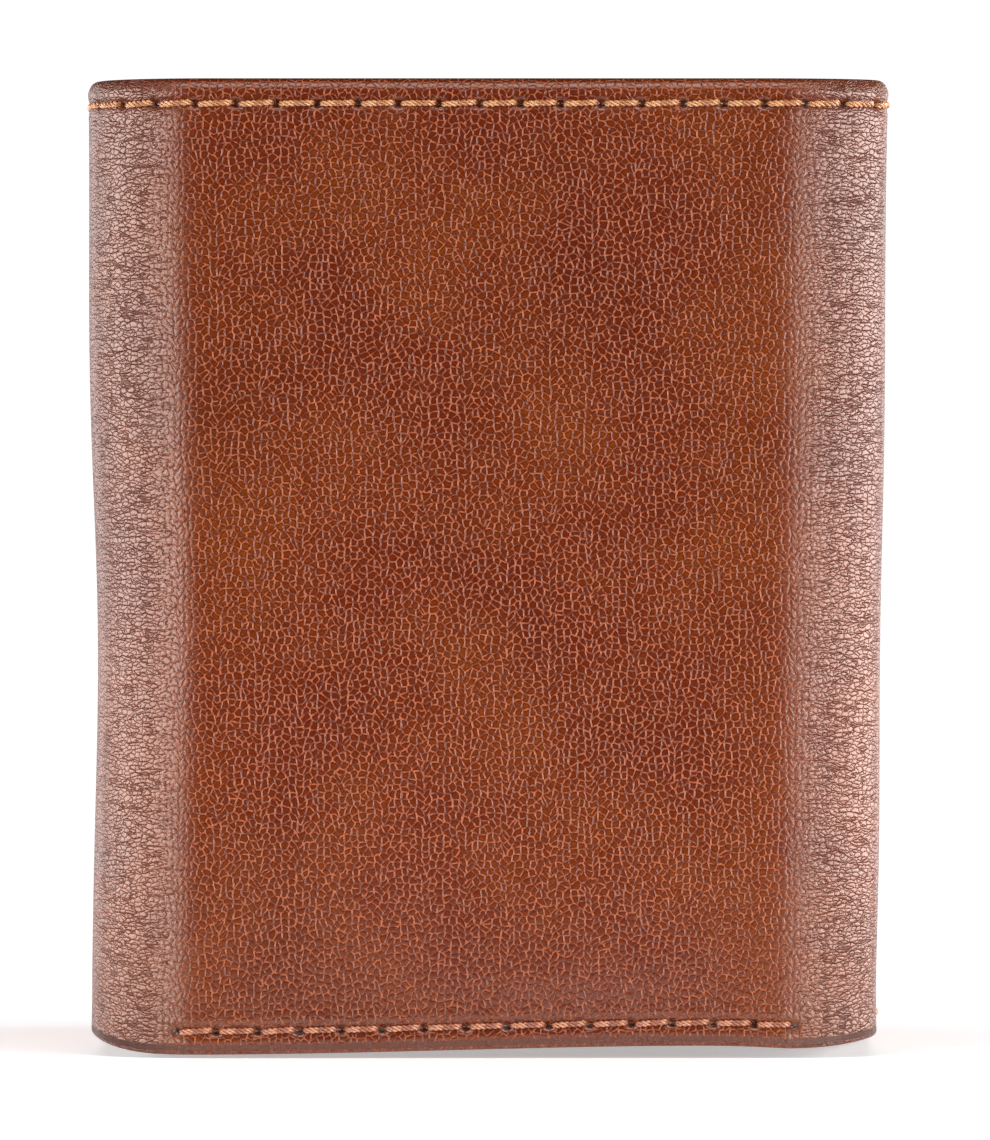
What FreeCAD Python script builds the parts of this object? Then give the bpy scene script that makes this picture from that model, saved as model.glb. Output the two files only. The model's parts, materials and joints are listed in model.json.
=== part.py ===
"""Trifold wallet in leather, standing half open on its bottom edges. Millimetres, +Z up.

The outer shell is one strip of leather over three panels: the centre panel, whose back faces -Y, the outer
flap on the -X side and the inner flap on the +X side. Closed, the inner flap lies on the centre panel and
the outer flap lies on the inner flap. At rest both flaps stand square to the centre panel and point to +Y.

Every panel and fold slat has its own frame: u runs along the leather away from the centre panel, d runs
from the outer face of the leather into the wallet, and z is up. Each fold is three slats with a hinge line
at both ends of each, on the outer face of the leather: two rear creases that turn the leather away from the
centre panel, already turned at rest, and two front creases that turn the flap over, still flat at rest.
"""

import FreeCAD, Part
import math
import os

# Overall sizes
HEIGHT = 108.0            # outer shell, bottom edge to top hem
WIDTH = 88.0              # over both folds
FREE_EDGE_X = 35.2        # how far past the middle each closed flap reaches

# Layers, outer face inwards
COVER = 1.1               # outer leather
BOARD = 0.4               # reinforcing board bonded inside the cover of each panel
LINING = 0.3              # fabric lining of the bill compartment
BILL_GAP = 1.0            # bill compartment, empty
DIVIDER = 0.8             # inner wall of the bill compartment
SLIP_GAP = 0.4            # room inside any empty pocket
POCKET = 0.7              # leather of a slip pocket or card slot
WINDOW = 0.3              # clear sheet
ID_FRAME = 0.8            # leather frame round the clear sheet
CLOSED_GAP = 0.8          # air between two closed panels
HEM_LIP = 0.6             # skived leather turned in along the top edge
HEM_DEPTH = 8.0           # how far the hem is turned in

# Depths of the layers' outer faces
BOARD_D = COVER
LINING_D = COVER + BOARD
FOLD_LINING_D = COVER     # the folds have no board
SHELL_D = LINING_D + LINING
DIVIDER_D = SHELL_D + BILL_GAP
SLIP_D = DIVIDER_D + DIVIDER
CARD_D = SLIP_D + SLIP_GAP + POCKET
CARD_PITCH_D = SLIP_GAP + POCKET
CARD_SLOTS = 3
FLAP_T = CARD_D + CARD_SLOTS * CARD_PITCH_D
CENTRE_T = CARD_D + SLIP_GAP + WINDOW + ID_FRAME

# Heights of the mouths, bottom edges of the inner pieces and widths of the seams
INNER_BOTTOM = 0.6
DIVIDER_TOP = 100.0
SLIP_TOP = 96.5
FIRST_MOUTH = 90.5
MOUTH_STEP = 11.0
ID_TOP = 91.0
SEAM = 4.0                # sewn border that closes a pocket
POCKET_INSET = 2.5        # from a flap's last crease to its pockets
CENTRE_SEAM_X = 35.0      # half width of the centre panel's pockets
WINDOW_BORDER = 8.5       # leather left round the window
WINDOW_TOP_BORDER = 13.0
WINDOW_CORNER = 3.0
WINDOW_LAP = 2.5          # clear sheet behind the frame, past the opening
NOTCH_RADIUS = 9.0        # thumb notch in the frame's top edge
FLAP_CORNER = 3.0

# Stitching
STITCH_PITCH = 4.46
STITCH_LENGTH = 3.3
THREAD = 0.7
THREAD_PROUD = 0.3        # how far a stitch stands out of an inside face
GROOVE_W = 0.9
GROOVE_D = 0.35
TOP_ROW_Z = HEIGHT - 2.8
BOTTOM_ROW_Z = 2.6
EDGE_ROW = 2.5            # from a flap's free edge to its row

# Folds
CREASE_DEG = 45.0         # most that one crease turns
MITRE = math.tan(math.radians(CREASE_DEG / 2 + 0.7))
CREASE_GAP = 0.08         # each side of a crease
INNER_FOLD_T = CENTRE_T + CLOSED_GAP + FLAP_T
OUTER_FOLD_T = INNER_FOLD_T + CLOSED_GAP + FLAP_T
Z_UP = FreeCAD.Vector(0, 0, 1)


class Frame:
    """A panel's own directions in plan. side is -1 on the -X side of the wallet and +1 on the +X side."""

    def __init__(self, x, y, side, heading_deg):
        heading = math.radians(heading_deg)
        self.origin = FreeCAD.Vector(x, y, 0)
        self.along = FreeCAD.Vector(side * math.cos(heading), math.sin(heading), 0)
        self.inward = FreeCAD.Vector(-side * math.sin(heading), math.cos(heading), 0)

    def point(self, u, d, z=0.0):
        return self.origin + self.along * u + self.inward * d + Z_UP * z


def fold_sizes(thickness):
    """Slat length and the reach of the centre panel's first crease past the start of the turn."""
    radius = thickness / 2
    tangent = radius * math.tan(math.radians(CREASE_DEG / 2))
    return 2 * tangent, WIDTH / 2 - radius + tangent


OUTER_SLAT, OUTER_CREASE_X = fold_sizes(OUTER_FOLD_T)
INNER_SLAT, INNER_CREASE_X = fold_sizes(INNER_FOLD_T)
OUTER_FLAP_U = OUTER_CREASE_X + FREE_EDGE_X
INNER_FLAP_U = INNER_CREASE_X + FREE_EDGE_X
TURN_DEPTH = OUTER_SLAT * math.sin(math.radians(CREASE_DEG))
REST_DEPTH = TURN_DEPTH + 2 * OUTER_SLAT + OUTER_FLAP_U
BACK_Y = -REST_DEPTH / 2  # outer face of the centre panel


# Shapes
def slab(frame, u, d, z, mitred=(False, False)):
    """A box from u[0] to u[1], d[0] to d[1] and z[0] to z[1], with its ends mitred where a crease turns."""
    start = [u[0] + (CREASE_GAP + MITRE * depth if mitred[0] else 0.0) for depth in d]
    end = [u[1] - (CREASE_GAP + MITRE * depth if mitred[1] else 0.0) for depth in d]
    corners = [(start[0], d[0]), (end[0], d[0]), (end[1], d[1]), (start[1], d[1])]
    points = [frame.point(a, b, z[0]) for a, b in corners]
    return Part.Face(Part.makePolygon(points + points[:1])).extrude(Z_UP * (z[1] - z[0]))


def rounded(frame, u, d, z, radius, corners=(True, True, True, True)):
    """A slab with rounded corners in its own face: bottom start, bottom end, top end, top start."""
    a, b = u
    low, high = z
    k = radius * (1 - math.sqrt(0.5))
    turns = [
        ((a, low + radius), (a + k, low + k), (a + radius, low), (a, low)),
        ((b - radius, low), (b - k, low + k), (b, low + radius), (b, low)),
        ((b, high - radius), (b - k, high - k), (b - radius, high), (b, high)),
        ((a + radius, high), (a + k, high - k), (a, high - radius), (a, high)),
    ]
    place = lambda q: frame.point(q[0], d[0], q[1])
    edges = []
    ends = []
    for (first, middle, last, square), is_round in zip(turns, corners):
        if is_round:
            edges.append(Part.Arc(place(first), place(middle), place(last)).toShape())
            ends.append((first, last))
        else:
            ends.append((square, square))
    for (_, last), (first, _) in zip(ends, ends[1:] + ends[:1]):
        edges.append(Part.LineSegment(place(last), place(first)).toShape())
    wire = Part.Wire(Part.__sortEdges__(edges))
    return Part.Face(wire).extrude(frame.inward * (d[1] - d[0]))


def fused(shapes):
    return shapes[0].fuse(shapes[1:]).removeSplitter() if len(shapes) > 1 else shapes[0]


def pocket(frame, u, z, d, gap, start_seam=True, end_seam=True):
    """A pocket's leather. Its sewn borders reach back over the gap to the layer behind, and its top is open."""
    face = (d + gap, d + gap + POCKET)
    behind = (d, d + gap + POCKET)
    pieces = [slab(frame, u, face, z), slab(frame, u, behind, (z[0], z[0] + SEAM))]
    if start_seam:
        pieces.append(slab(frame, (u[0], u[0] + SEAM), behind, z))
    if end_seam:
        pieces.append(slab(frame, (u[1] - SEAM, u[1]), behind, z))
    return fused(pieces)


def stitches(frame, u, z, d):
    """A row of stitches between two points of a panel's face, on the depths d, as separate solids."""
    length = math.hypot(u[1] - u[0], z[1] - z[0])
    count = max(1, round(length / STITCH_PITCH))
    pitch = length / count
    upright = abs(z[1] - z[0]) > abs(u[1] - u[0])
    half_u, half_z = (THREAD / 2, STITCH_LENGTH / 2) if upright else (STITCH_LENGTH / 2, THREAD / 2)
    row = []
    for i in range(count):
        share = (i + 0.5) * pitch / length
        mid_u = u[0] + share * (u[1] - u[0])
        mid_z = z[0] + share * (z[1] - z[0])
        row.append(slab(frame, (mid_u - half_u, mid_u + half_u), d, (mid_z - half_z, mid_z + half_z)))
    return row


def groove(frame, u, z):
    """The sunk line in the outer face of a cover that a row of stitches lies in."""
    return slab(frame, u, (0, GROOVE_D), z)


def level_groove(frame, u, z):
    return groove(frame, u, (z - GROOVE_W / 2, z + GROOVE_W / 2))


def save(name, shapes):
    shape = shapes[0] if len(shapes) == 1 else Part.makeCompound(shapes)
    shape.exportStep("parts/" + name + ".step")


# The shell: leather with its turned hem, and its lining
def shell_leather(frame, u, mitred, lining_d, low_row=None):
    """Cover leather of a panel or slat. The hem turns in over the lining's top edge."""
    lip = (lining_d + LINING, lining_d + LINING + HEM_LIP)
    body = fused([
        slab(frame, u, (0, COVER), (0, HEIGHT), mitred),
        slab(frame, u, (COVER, lip[1]), (HEIGHT - COVER, HEIGHT), mitred),
        slab(frame, u, lip, (HEIGHT - HEM_DEPTH, HEIGHT - COVER), mitred),
    ])
    body = body.cut(level_groove(frame, u, TOP_ROW_Z))
    if low_row:
        body = body.cut(level_groove(frame, low_row, BOTTOM_ROW_Z))
    return body


def shell_lining(frame, u, mitred, lining_d):
    return slab(frame, u, (lining_d, lining_d + LINING), (INNER_BOTTOM, HEIGHT - COVER), mitred)


def hem_stitches(frame, u, lining_d):
    inside = lining_d + LINING + HEM_LIP
    row_z = (TOP_ROW_Z, TOP_ROW_Z)
    return (stitches(frame, u, row_z, (0, GROOVE_D))
            + stitches(frame, u, row_z, (inside, inside + THREAD_PROUD)))


def save_slat(name, frame, length):
    """One slat of a fold: leather, lining, the divider's strip and the stitches in its hem."""
    u = (0, length)
    both = (True, True)
    save(name + "_leather", [shell_leather(frame, u, both, FOLD_LINING_D)])
    save(name + "_lining", [shell_lining(frame, u, both, FOLD_LINING_D)])
    divider = slab(frame, u, (DIVIDER_D, SLIP_D), (INNER_BOTTOM, DIVIDER_TOP), both)
    save(name + "_divider", [divider])
    inner_length = length - 2 * MITRE * (FOLD_LINING_D + LINING + HEM_LIP + THREAD_PROUD)
    clear = (length - inner_length) / 2
    save(name + "_thread", hem_stitches(frame, (clear, length - clear), FOLD_LINING_D))


# Centre panel
def save_centre(frame):
    u = (-OUTER_CREASE_X, INNER_CREASE_X)
    both = (True, True)
    seam_u = (-CENTRE_SEAM_X, CENTRE_SEAM_X)
    save("centre_cover", [shell_leather(frame, u, both, LINING_D, seam_u)])
    save("centre_board", [slab(frame, seam_u, (BOARD_D, LINING_D), (INNER_BOTTOM, HEIGHT - HEM_DEPTH))])
    save("centre_lining", [lining_over_board(frame, u, both, seam_u)])
    save("centre_divider", [fused([
        slab(frame, u, (DIVIDER_D, SLIP_D), (INNER_BOTTOM, DIVIDER_TOP), both),
        slab(frame, seam_u, (SHELL_D, DIVIDER_D), (INNER_BOTTOM, INNER_BOTTOM + SEAM)),
    ])])
    save("centre_slip_pocket", [pocket(frame, seam_u, (INNER_BOTTOM, SLIP_TOP), SLIP_D, SLIP_GAP)])
    save("id_window_frame", [id_frame(frame)])
    save("id_window", [id_window(frame)])
    save("centre_top_thread", hem_stitches(frame, centre_row(), LINING_D))
    bottom = (BOTTOM_ROW_Z, BOTTOM_ROW_Z)
    row_u = (seam_u[0] + 0.5, seam_u[1] - 0.5)
    save("centre_bottom_thread", stitches(frame, row_u, bottom, (0, GROOVE_D))
         + stitches(frame, row_u, bottom, (CENTRE_T, CENTRE_T + THREAD_PROUD)))
    sides = []
    for side in (-1, 1):
        at = side * (CENTRE_SEAM_X - SEAM / 2)
        sides += stitches(frame, (at, at), (BOTTOM_ROW_Z + 2, ID_TOP - 1),
                          (CENTRE_T, CENTRE_T + THREAD_PROUD))
    save("id_frame_thread", sides)


def centre_row():
    """Ends of the hem's row on the centre panel, clear of its mitred ends on the inside."""
    clear = MITRE * (SHELL_D + HEM_LIP + THREAD_PROUD) + CREASE_GAP
    return (-OUTER_CREASE_X + clear, INNER_CREASE_X - clear)


def lining_over_board(frame, u, mitred, board_u):
    """Lining that fills the board's step where the board ends, so that it lies on leather everywhere."""
    full = (BOARD_D, SHELL_D)
    low = (INNER_BOTTOM, HEIGHT - HEM_DEPTH)
    pieces = [
        slab(frame, u, (LINING_D, SHELL_D), (INNER_BOTTOM, HEIGHT - COVER), mitred),
        slab(frame, u, full, (HEIGHT - HEM_DEPTH, HEIGHT - COVER), mitred),
    ]
    if board_u[0] > u[0]:
        pieces.append(slab(frame, (u[0], board_u[0]), full, low, (mitred[0], False)))
    if board_u[1] < u[1]:
        pieces.append(slab(frame, (board_u[1], u[1]), full, low, (False, mitred[1])))
    return fused(pieces)


def window_box():
    """The window's opening as (u range, z range)."""
    half = CENTRE_SEAM_X - WINDOW_BORDER
    return (-half, half), (INNER_BOTTOM + WINDOW_BORDER, ID_TOP - WINDOW_TOP_BORDER)


def id_frame(frame):
    u = (-CENTRE_SEAM_X, CENTRE_SEAM_X)
    z = (INNER_BOTTOM, ID_TOP)
    back = CARD_D
    face = CENTRE_T - ID_FRAME
    window_u, window_z = window_box()
    body = fused([
        slab(frame, u, (face, CENTRE_T), z),
        slab(frame, u, (back, CENTRE_T), (z[0], z[0] + SEAM)),
        slab(frame, (u[0], u[0] + SEAM), (back, CENTRE_T), z),
        slab(frame, (u[1] - SEAM, u[1]), (back, CENTRE_T), z),
    ])
    opening = rounded(frame, window_u, (face - 1, CENTRE_T + 1), window_z, WINDOW_CORNER)
    notch = Part.makeCylinder(NOTCH_RADIUS, ID_FRAME + 2, frame.point(0, face - 1, ID_TOP),
                              frame.inward)
    return body.cut([opening, notch]).removeSplitter()


def id_window(frame):
    (u0, u1), (z0, z1) = window_box()
    face = CENTRE_T - ID_FRAME
    lap = WINDOW_LAP
    return slab(frame, (u0 - lap, u1 + lap), (face - WINDOW, face), (z0 - lap, z1 + lap))


# Flaps
def mouth(slot):
    return FIRST_MOUTH - slot * MOUTH_STEP


def inner_faces():
    """(low z, high z, depth of the innermost face) up a flap, from its bottom to the divider's top."""
    depths = [(INNER_BOTTOM, mouth(CARD_SLOTS - 1), FLAP_T)]
    for slot in range(CARD_SLOTS - 1, 0, -1):
        depths.append((mouth(slot), mouth(slot - 1), CARD_D + slot * CARD_PITCH_D))
    depths.append((mouth(0), SLIP_TOP, CARD_D))
    depths.append((SLIP_TOP, DIVIDER_TOP, SLIP_D))
    return depths


def column_stitches(frame, u):
    """An upright row on the inside of a flap, stepping down from pocket to pocket."""
    row = []
    for low, high, depth in inner_faces():
        if high - low < STITCH_LENGTH:
            continue
        row += stitches(frame, (u, u), (max(low, BOTTOM_ROW_Z + 2), high), (depth, depth + THREAD_PROUD))
    return row


def save_flap(name, frame, length):
    u = (0, length)
    hinged = (True, False)
    inner_u = (POCKET_INSET, length)
    z_inner = (INNER_BOTTOM, HEIGHT - HEM_DEPTH)
    edge_u = length - EDGE_ROW
    round_end = (False, True, True, False)
    outline = rounded(frame, (-5, length), (-1, FLAP_T + 1), (0, HEIGHT), FLAP_CORNER, round_end)
    cover = shell_leather(frame, u, hinged, LINING_D, inner_u)
    cover = cover.cut(groove(frame, (edge_u - GROOVE_W / 2, edge_u + GROOVE_W / 2), (BOTTOM_ROW_Z, TOP_ROW_Z)))
    save(name + "_cover", [cover.common(outline)])
    save(name + "_board", [slab(frame, inner_u, (BOARD_D, LINING_D), z_inner).common(outline)])
    save(name + "_lining", [lining_over_board(frame, u, hinged, inner_u).common(outline)])
    save(name + "_divider", [fused([
        slab(frame, u, (DIVIDER_D, SLIP_D), (INNER_BOTTOM, DIVIDER_TOP), hinged),
        slab(frame, inner_u, (SHELL_D, DIVIDER_D), (INNER_BOTTOM, INNER_BOTTOM + SEAM)),
        slab(frame, (length - SEAM, length), (SHELL_D, DIVIDER_D), (INNER_BOTTOM, DIVIDER_TOP)),
    ]).common(outline)])
    slip = pocket(frame, inner_u, (INNER_BOTTOM, SLIP_TOP), SLIP_D, SLIP_GAP)
    save(name + "_slip_pocket", [slip.common(outline)])
    for slot in range(CARD_SLOTS):
        leather = pocket(frame, inner_u, (INNER_BOTTOM, mouth(slot)), CARD_D + slot * CARD_PITCH_D, SLIP_GAP)
        save(f"{name}_card_slot_{slot + 1}", [leather.common(outline)])
    clear = MITRE * (SHELL_D + HEM_LIP + THREAD_PROUD) + CREASE_GAP
    save(name + "_top_thread", hem_stitches(frame, (clear, edge_u - 1.5), LINING_D))
    bottom = (BOTTOM_ROW_Z, BOTTOM_ROW_Z)
    row_u = (inner_u[0] + 0.5, edge_u - 1.5)
    save(name + "_bottom_thread", stitches(frame, row_u, bottom, (0, GROOVE_D))
         + stitches(frame, row_u, bottom, (FLAP_T, FLAP_T + THREAD_PROUD)))
    save(name + "_edge_thread",
         stitches(frame, (edge_u, edge_u), (BOTTOM_ROW_Z + 0.5, TOP_ROW_Z - 0.5), (0, GROOVE_D))
         + column_stitches(frame, edge_u))
    save(name + "_pocket_thread", column_stitches(frame, POCKET_INSET + SEAM / 2))


# Folds and flaps of one side
def save_side(fold_name, flap_name, side, crease_x, slat, flap_length):
    x, y = side * crease_x, BACK_Y
    headings = (CREASE_DEG, 2 * CREASE_DEG, 2 * CREASE_DEG)
    for number, heading in enumerate(headings, 1):
        frame = Frame(x, y, side, heading)
        save_slat(f"{fold_name}_{number}", frame, slat)
        print(f"{fold_name} crease {number}: x {x:.4f} y {y:.4f}")
        end = frame.point(slat, 0)
        x, y = end.x, end.y
    print(f"{fold_name} crease 4: x {x:.4f} y {y:.4f}")
    save_flap(flap_name, Frame(x, y, side, 2 * CREASE_DEG), flap_length)


os.makedirs("parts", exist_ok=True)
save_centre(Frame(0, BACK_Y, 1, 0))
save_side("outer_fold", "outer_flap", -1, OUTER_CREASE_X, OUTER_SLAT, OUTER_FLAP_U)
save_side("inner_fold", "inner_flap", 1, INNER_CREASE_X, INNER_SLAT, INNER_FLAP_U)
print(f"closed thickness {OUTER_FOLD_T:.2f}, centre {CENTRE_T:.2f}, flap {FLAP_T:.2f}, back at y {BACK_Y:.4f}")
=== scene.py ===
import json
import math

import bmesh
import bpy
import numpy as np
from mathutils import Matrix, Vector


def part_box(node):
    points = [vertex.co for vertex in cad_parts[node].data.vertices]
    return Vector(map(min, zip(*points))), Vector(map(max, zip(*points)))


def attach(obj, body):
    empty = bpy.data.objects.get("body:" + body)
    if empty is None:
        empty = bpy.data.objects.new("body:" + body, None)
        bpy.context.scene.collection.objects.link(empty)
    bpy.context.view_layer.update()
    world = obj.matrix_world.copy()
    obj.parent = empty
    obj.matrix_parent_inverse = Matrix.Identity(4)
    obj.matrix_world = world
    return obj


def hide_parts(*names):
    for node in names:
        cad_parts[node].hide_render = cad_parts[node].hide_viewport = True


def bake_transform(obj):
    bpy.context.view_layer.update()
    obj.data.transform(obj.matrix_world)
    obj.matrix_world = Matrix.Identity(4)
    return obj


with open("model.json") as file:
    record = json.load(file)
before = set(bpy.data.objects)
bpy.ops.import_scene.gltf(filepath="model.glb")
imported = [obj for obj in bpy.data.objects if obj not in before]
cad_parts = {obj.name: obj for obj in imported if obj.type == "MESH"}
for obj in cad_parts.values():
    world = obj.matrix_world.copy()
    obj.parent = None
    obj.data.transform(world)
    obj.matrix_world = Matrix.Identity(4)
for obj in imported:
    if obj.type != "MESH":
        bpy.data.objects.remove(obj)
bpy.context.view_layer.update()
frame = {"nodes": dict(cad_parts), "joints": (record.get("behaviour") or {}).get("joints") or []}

# Trifold wallet. Sizes are in millimetres until a mesh is made. Every layer is drawn in three coordinates:
# s runs along the leather from the middle of the back (negative towards the outer flap), d is the depth from
# the leather's outer face into the wallet, and z is up. place() bends them into the half-open wallet.

MM = 0.001
UV_PER_MM = 0.01


# Sizes from the frame
def low(node):
    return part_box(node)[0] / MM


def high(node):
    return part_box(node)[1] / MM


def centre_depths(node):
    return low(node).y - BACK, high(node).y - BACK


def flap_depths(node):
    return low(node).x + HALF, high(node).x + HALF


CREASES = {j["name"]: (j["pos_m"][0] / MM, j["pos_m"][1] / MM) for j in frame["joints"]}
BACK = low("centre_cover").y
HALF = high("inner_flap_cover").x
HEIGHT = high("centre_cover").z
INNER_BOTTOM = low("centre_lining").z
HEM_DEPTH = centre_depths("centre_cover")[1]
COVER = centre_depths("centre_board")[0]
LINING_IN = centre_depths("centre_lining")[1]
DIVIDER_OUT, DIVIDER_IN = flap_depths("outer_fold_2_divider")
DIVIDER_TOP = high("centre_divider").z
SLIP_TOP = high("centre_slip_pocket").z
SLIP_IN = centre_depths("centre_slip_pocket")[1]
FRAME_IN = centre_depths("id_window_frame")[1]
FRAME_TOP = high("id_window_frame").z
POCKET_HALF = high("id_window_frame").x
SLOT_COUNT = 3
SLOTS = range(1, SLOT_COUNT + 1)
SLOT_IN = [flap_depths(f"outer_flap_card_slot_{n}")[1] for n in SLOTS]
SLOT_TOP = [high(f"outer_flap_card_slot_{n}").z for n in SLOTS]
TOP_ROW_Z = (low("centre_top_thread").z + high("centre_top_thread").z) / 2
BOTTOM_ROW_Z = (low("centre_bottom_thread").z + high("centre_bottom_thread").z) / 2

# Sizes of the leather's looks
FOLD_RUN = {"outer": 13.5, "inner": 14.0}  # how far from each fold's edge the back starts to turn
POCKET_LEATHER = 0.7
FRAME_LEATHER = 0.8
LAYER_GAP = 0.02  # kept between layers that are sewn together
SEAM = 4.0  # width of a sewn border
NO_END = 1000.0  # stands for an end of a border that lies outside the piece
FLAP_CORNER = 3.0
CORNER_REACH = 9.0  # how far in from a flap's free edge its round corners are felt
ARRIS = 0.40  # rounding of a cut or turned edge
SHELL_REACH = 4.0  # depth that the bending layers reach
HEM_BOTTOM = 100.0
HEM_CROWN = 1.25  # height of the roll along the top of the hem
HEM_ROLL = HEM_DEPTH / 2
CREASE_LINE = 1.6  # heat-pressed line below a pocket's mouth
CREASE_SINK = 0.13
CREASE_WIDTH = 0.28
NOTCH_RADIUS = 9.0
WINDOW_LAP = 2.5
WINDOW_CORNER = 3.0

# Sizes of the stitches
PITCH = 4.46
STITCH = 3.3  # visible length of one stitch
EDGE_ROW = 2.5  # from a flap's free edge to its stitches
ROW_END = 0.5  # from the end of a pocket to the end of its row
HEM_BED = 0.10  # depth of the hem row below the outer face
OUTSIDE_BED = 0.12  # the same for the other outside rows
INSIDE_BED = 0.24  # and for inside rows, so that the closed wallet clears them
INSIDE_SINK = 0.8  # how much of an outside row's groove an inside row presses
STITCH_RISE = 0.20
STITCH_DIVE = 0.75  # how deep a stitch's ends go
STITCH_OVERLAP = 0.35  # how far each end runs on into its needle hole
FOLD_PULL = 0.28  # how much deeper stitches sit where a fold stands out furthest
SLANT = 0.045  # stitches climb a little to the right
SLANT_SPREAD = 0.03
PLIES = 3
PLY_SPREAD = 0.20
PLY_RADIUS = 0.17
PLY_PITCH = 1.8
RINGS = 23
RING_POINTS = 7


class Side:
    """One fold and its flap: where the turn starts, its 45 degree point, its end and the flap's free edge."""

    def __init__(self, name, sign):
        self.name = name
        self.sign = sign
        rear = CREASES[f"{name}_rear_crease_2"][1]
        front = CREASES[f"{name}_front_crease_2"][1]
        self.run = FOLD_RUN[name]
        self.depth = (rear + front) / 2 - BACK
        turn = np.linspace(0, math.pi / 2, 1441)
        self.turn = turn
        x = self.run * np.sin(turn)
        v = self.depth * (1 - np.cos(turn))
        self.start = HALF - self.run
        self.along = self.start + np.concatenate([[0], np.cumsum(np.hypot(np.diff(x), np.diff(v)))])
        self.end = self.along[-1]
        self.middle = float(np.interp(math.atan2(self.run, self.depth), turn, self.along))
        slat = front - rear
        self.cuts = [self.start, self.middle, self.end, self.end + slat, self.end + 2 * slat]
        self.tip = self.end + high(f"{name}_flap_cover").y - BACK - self.depth

    def plan(self, s):
        """Position and inward normal, in plan, at developed lengths s past the middle on this side."""
        turn = np.interp(s, self.along, self.turn)
        after = np.maximum(s - self.end, 0)
        x = np.where(s < self.start, s, self.start + self.run * np.sin(turn))
        v = self.depth * (1 - np.cos(turn)) + after
        tx = self.run * np.cos(turn)
        tv = self.depth * np.sin(turn)
        length = np.hypot(tx, tv)
        return x, v, -tv / length, tx / length


OUTER = Side("outer", -1)
INNER = Side("inner", 1)
SIDES = (OUTER, INNER)


def smooth(t):
    t = np.clip(t, 0, 1)
    return t * t * (3 - 2 * t)


def bell(t):
    return np.exp(-t * t)


# The wallet's own unevenness, which all its layers share. -1 is the outer side and 1 the inner one.
LEAN_TOP = {-1: -0.35, 1: -0.5}  # how far each fold stands in at its top
WAIST, WAIST_Z, WAIST_REACH = 0.9, 35.0, 32.0  # the outer fold's hollow
TAPER, TAPER_Z, TAPER_REACH = 1.2, 105.0, 100.0  # the inner fold draws in below this height
FOLD_RISE = {-1: 2.4, 1: 1.5}  # how far each fold's bottom edge stands off the ground
SLOPE_X, SLOPE_RUN = -33.0, 58.0  # the back's bottom edge climbs 1 mm over this run
DIP, DIP_X, DIP_REACH = 0.35, 36.0, 6.0
RISE_REACH = 26.0  # height up to which the lift of the bottom edge is felt
LIFT_FADE = 44.0  # length of flap over which lean and lift die away
CROWN, CROWN_Z, CROWN_REACH_S, CROWN_REACH_Z = 0.45, 54.0, 38.0, 60.0  # the back's bulge
WAVE_FADE = 8.0  # the waves die away this far from the top and bottom edges
SWELL_DEPTH = 6.0  # depth at which bulge and waves have died away


def lean(side, z):
    """How far a fold stands in from the frame's half width at each height."""
    if side.sign < 0:
        return LEAN_TOP[-1] + WAIST * bell((z - WAIST_Z) / WAIST_REACH)
    return LEAN_TOP[1] + TAPER * smooth((TAPER_Z - z) / TAPER_REACH)


def bottom_lift(side, s):
    """How far the bottom edge stands off the ground along the back and round the folds."""
    x = side.sign * np.minimum(s, side.start + 4)
    back = smooth((x - SLOPE_X) / SLOPE_RUN)
    back = back - DIP * bell((x - DIP_X) / DIP_REACH)
    fade = 1 - np.clip((s - side.end) / LIFT_FADE, 0, 1)
    fold = smooth((s - side.start - 3) / (side.end - side.start)) ** 1.5 * fade
    return back * fade + FOLD_RISE[side.sign] * fold


def swell(s, z):
    """How far the outer face bulges outwards: a crown on the back and slow waves everywhere."""
    middle = np.clip(1 - (s / CROWN_REACH_S) ** 2, 0, 1)
    inside = middle * np.clip(1 - ((z - CROWN_Z) / CROWN_REACH_Z) ** 2, 0, 1)
    waves = (0.10 * np.sin(s / 9.0 + z / 14.0) + 0.07 * np.sin(z / 7.3 - s / 17.0 + 1.3)
             + 0.05 * np.sin(s / 5.1 - z / 9.7 + 0.4))
    fade = np.clip(z / WAVE_FADE, 0, 1) * np.clip((HEIGHT - z) / WAVE_FADE, 0, 1)
    calm = np.where(np.abs(s) > 60, 0.5, 1.0)
    return CROWN * inside + waves * fade * calm


def place(s, d, z):
    """Points of the half-open wallet, in millimetres, from developed length, depth and height."""
    s, d, z = np.broadcast_arrays(np.asarray(s, float), np.asarray(d, float), np.asarray(z, float))
    points = np.zeros(s.shape + (3,))
    for side in SIDES:
        mine = s * side.sign >= 0
        along = np.abs(s[mine])
        height = z[mine]
        x, v, nx, nv = side.plan(along)
        depth = d[mine] - swell(s[mine], height) * np.clip(1 - d[mine] / SWELL_DEPTH, 0, 1)
        fade = 1 - np.clip((along - side.end) / LIFT_FADE, 0, 1)
        inside = smooth((along - side.end) / 8) * np.clip(depth / SWELL_DEPTH, 0, 1)
        leaning = lean(side, height) * (np.minimum(x, HALF) / HALF) ** 2 * fade * (1 - inside)
        x = x + nx * depth - leaning
        rise = bottom_lift(side, along) * (1 - smooth(height / RISE_REACH))
        points[mine] = np.stack([side.sign * x, BACK + v + nv * depth, height + rise], axis=-1)
    return points


# Meshes
def graded(start, stop, step, spots=()):
    """Lines from start to stop, closer together round each spot, given as (place, half width, step)."""
    at = np.linspace(start, stop, 4001)
    density = np.full_like(at, 1 / step)
    for middle, width, fine in spots:
        density = np.maximum(density, bell((at - middle) / width) ** 2 / fine)
    total = np.concatenate([[0], np.cumsum((density[1:] + density[:-1]) / 2 * np.diff(at))])
    count = int(math.ceil(total[-1]))
    return np.interp(np.linspace(0, total[-1], count + 1), total, at)


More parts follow.
